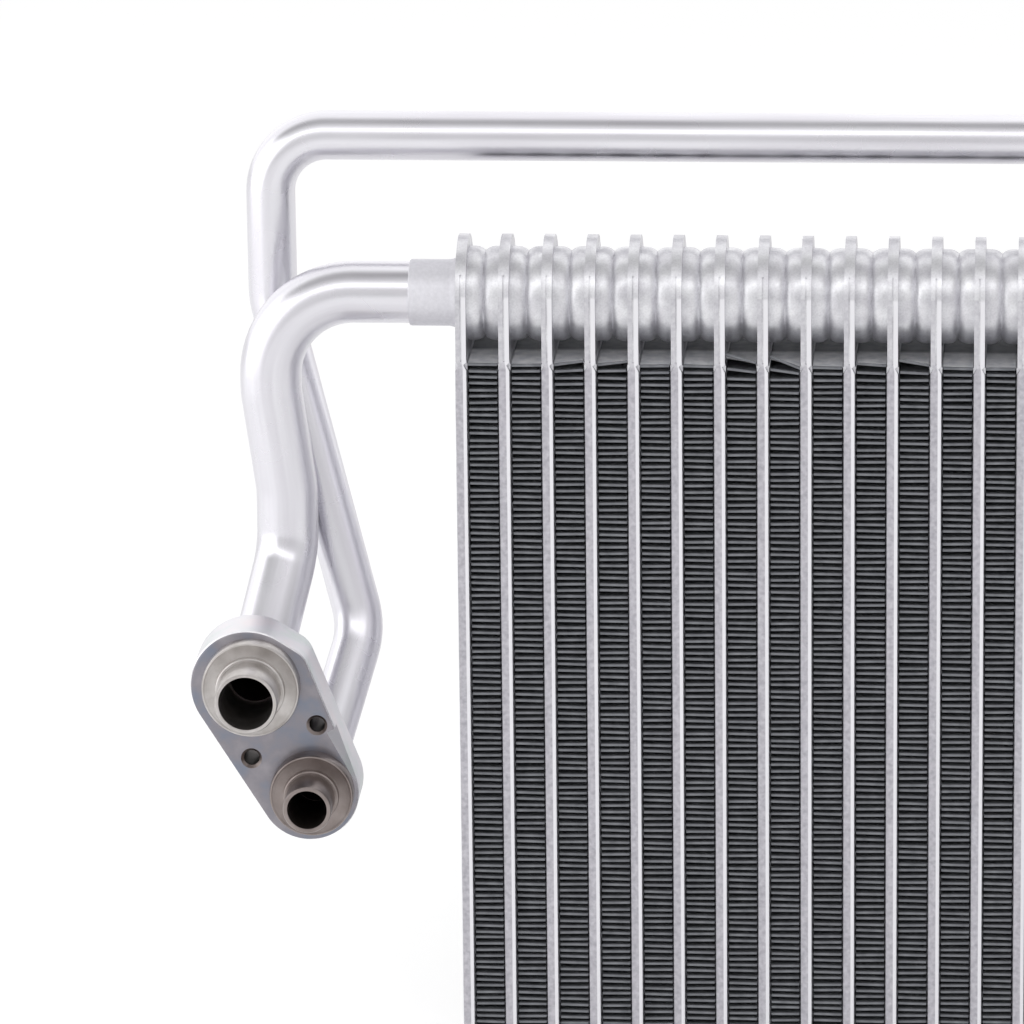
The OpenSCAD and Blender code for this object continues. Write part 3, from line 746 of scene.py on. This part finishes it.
def set_light():
    """Soft studio light: a white ground for the camera, a room in bands for what metal
    mirrors, an even light for the rest, and two soft boxes."""
    world = bpy.data.worlds.new("white_studio")
    world.use_nodes = True
    tree = world.node_tree
    tree.nodes.clear()
    way = add_node(tree, "ShaderNodeTexCoord").outputs["Generated"]
    parts = add_node(tree, "ShaderNodeSeparateXYZ", {"Vector": way}).outputs
    front = add_node(tree, "ShaderNodeMath", {0: parts["Y"], 1: -1.0}, operation="MULTIPLY")
    angle = add_node(
        tree, "ShaderNodeMath", {0: parts["Z"], 1: front.outputs[0]}, operation="ARCTAN2"
    )
    part = add_node(tree, "ShaderNodeMath", {0: angle.outputs[0], 1: math.pi}, operation="DIVIDE")
    # From the horizon in front (0), over the top (0.5), to the horizon behind (1)
    room = ramp(
        tree, part.outputs[0],
        (0.0, 0.8), (0.13, 0.86), (0.3, 0.95), (0.37, 0.7), (0.42, 0.48), (0.48, 0.5),
        (0.54, 0.85), (0.59, 1.35), (1.0, 1.35),
    )
    ray = add_node(tree, "ShaderNodeLightPath").outputs
    plain = add_node(tree, "ShaderNodeBackground", Color=(1, 1, 1, 1), Strength=0.75)
    banded = add_node(tree, "ShaderNodeBackground", {"Color": room}, Strength=1.0)
    white = add_node(tree, "ShaderNodeBackground", Color=(1, 1, 1, 1), Strength=1.0)
    mirrored = add_node(
        tree, "ShaderNodeMath", {0: ray["Is Glossy Ray"], 1: ray["Is Transmission Ray"]},
        operation="MAXIMUM",
    )
    metal = add_node(
        tree, "ShaderNodeMixShader",
        {"Fac": mirrored.outputs[0], 1: plain.outputs[0], 2: banded.outputs[0]},
    )
    both = add_node(
        tree, "ShaderNodeMixShader",
        {"Fac": ray["Is Camera Ray"], 1: metal.outputs[0], 2: white.outputs[0]},
    )
    add_node(tree, "ShaderNodeOutputWorld", {"Surface": both.outputs[0]})
    bpy.context.scene.world = world
    # Place and size in metres, power in watts; both boxes face a point in the middle of the core
    aim = Vector((0, 0, 0.15))
    for name, place, size, power in (
        ("key_softbox", (0.1, -1.65, 1.6), (3.2, 0.6), 7.5),
        ("left_softbox", (-1.1, -0.35, 0.45), (1.4, 0.9), 4),
    ):
        lamp = bpy.data.lights.new(name, "AREA")
        lamp.shape = "RECTANGLE"
        lamp.size, lamp.size_y = size
        lamp.energy = power
        box = bpy.data.objects.new(name, lamp)
        spot = Vector(place)
        turn = (aim - spot).to_track_quat("-Z", "Y").to_matrix().to_4x4()
        box.matrix_world = Matrix.Translation(spot) @ turn
        bpy.context.collection.objects.link(box)


bpy.context.scene.view_settings.view_transform = "Standard"
set_camera()
set_light()
set_floor()

fin_skin = coated_fin()
pipe_skin = drawn_pipe()
collar_skin = matt_collar()
block_face = milled_face()
block_side = extruded_side()
edge_skin = bare_edge()
hole_skin = tarnished_bore()
big_port_skin = turned_port("turned_pale_aluminium", "#aaa5a2", "#c9c5c3")
small_port_skin = turned_port("turned_tarnished_aluminium", "#7e7471", "#988f8c")

# The CAD nodes take the finish of their slot, also where a finer mesh stands for them
finishes = {
    "plate_aluminium": brazed_plate(),
    "fin_aluminium": fin_skin,
    "pipe_aluminium": pipe_skin,
    "collar_aluminium": collar_skin,
    "block_aluminium": block_side,
}
slots = {part["node"]: part["material_slot"] for part in frame["record"]["subparts"]}
for name, node in frame["nodes"].items():
    for place in node.material_slots:
        place.material = finishes[slots[name]]

for i in range(1, TUBES):
    fin(i, fin_skin)

# Each pipe's route, corner by corner from its tank to the block, and the radius of each bend
swept_pipe(
    "suction_pipe_drawn", "suction_pipe",
    [(-END_FACE, *FRONT_TANK), (-182.25, *FRONT_TANK), (-182.25, -10, 193.4),
     (-178.65, -10, 167.4), (-178.65, -10, 150.9), (-184.1, -29, 127.65), (-184.1, -47, 127.65)],
    [0, 22, 22, 22, 18, 15, 0], SUCTION_PIPE, pipe_skin, hole_skin,
)
swept_pipe(
    "liquid_pipe_drawn", "liquid_pipe",
    [(END_FACE, *REAR_TANK), (157.5, *REAR_TANK), (157.5, 15.3, 254.9), (-184.1, 15.3, 254.9),
     (-183.9, 15, 211.4), (-160.4, -4.5, 128.0), (-169.026, -29, 99.536), (-169.026, -47, 99.536)],
    [0, 15, 15, 15, 18, 18, 15, 0], LIQUID_PIPE, pipe_skin, hole_skin,
)
sleeve("suction_sleeve", "suction_collar", -1, FRONT_TANK, SUCTION_PIPE / 2, 12.6, collar_skin)
sleeve("liquid_sleeve", "liquid_collar", 1, REAR_TANK, LIQUID_PIPE / 2, 7, collar_skin)
connection_block(block_face, block_side, edge_skin, hole_skin, small_port_skin)
port("suction_port", 0, 12.5, 8.0, 6.85, SUCTION_PIPE / 2, big_port_skin)
port("liquid_port", -PORT_GAP, 10.7, 6.2, 4.95, LIQUID_PIPE / 2, small_port_skin)
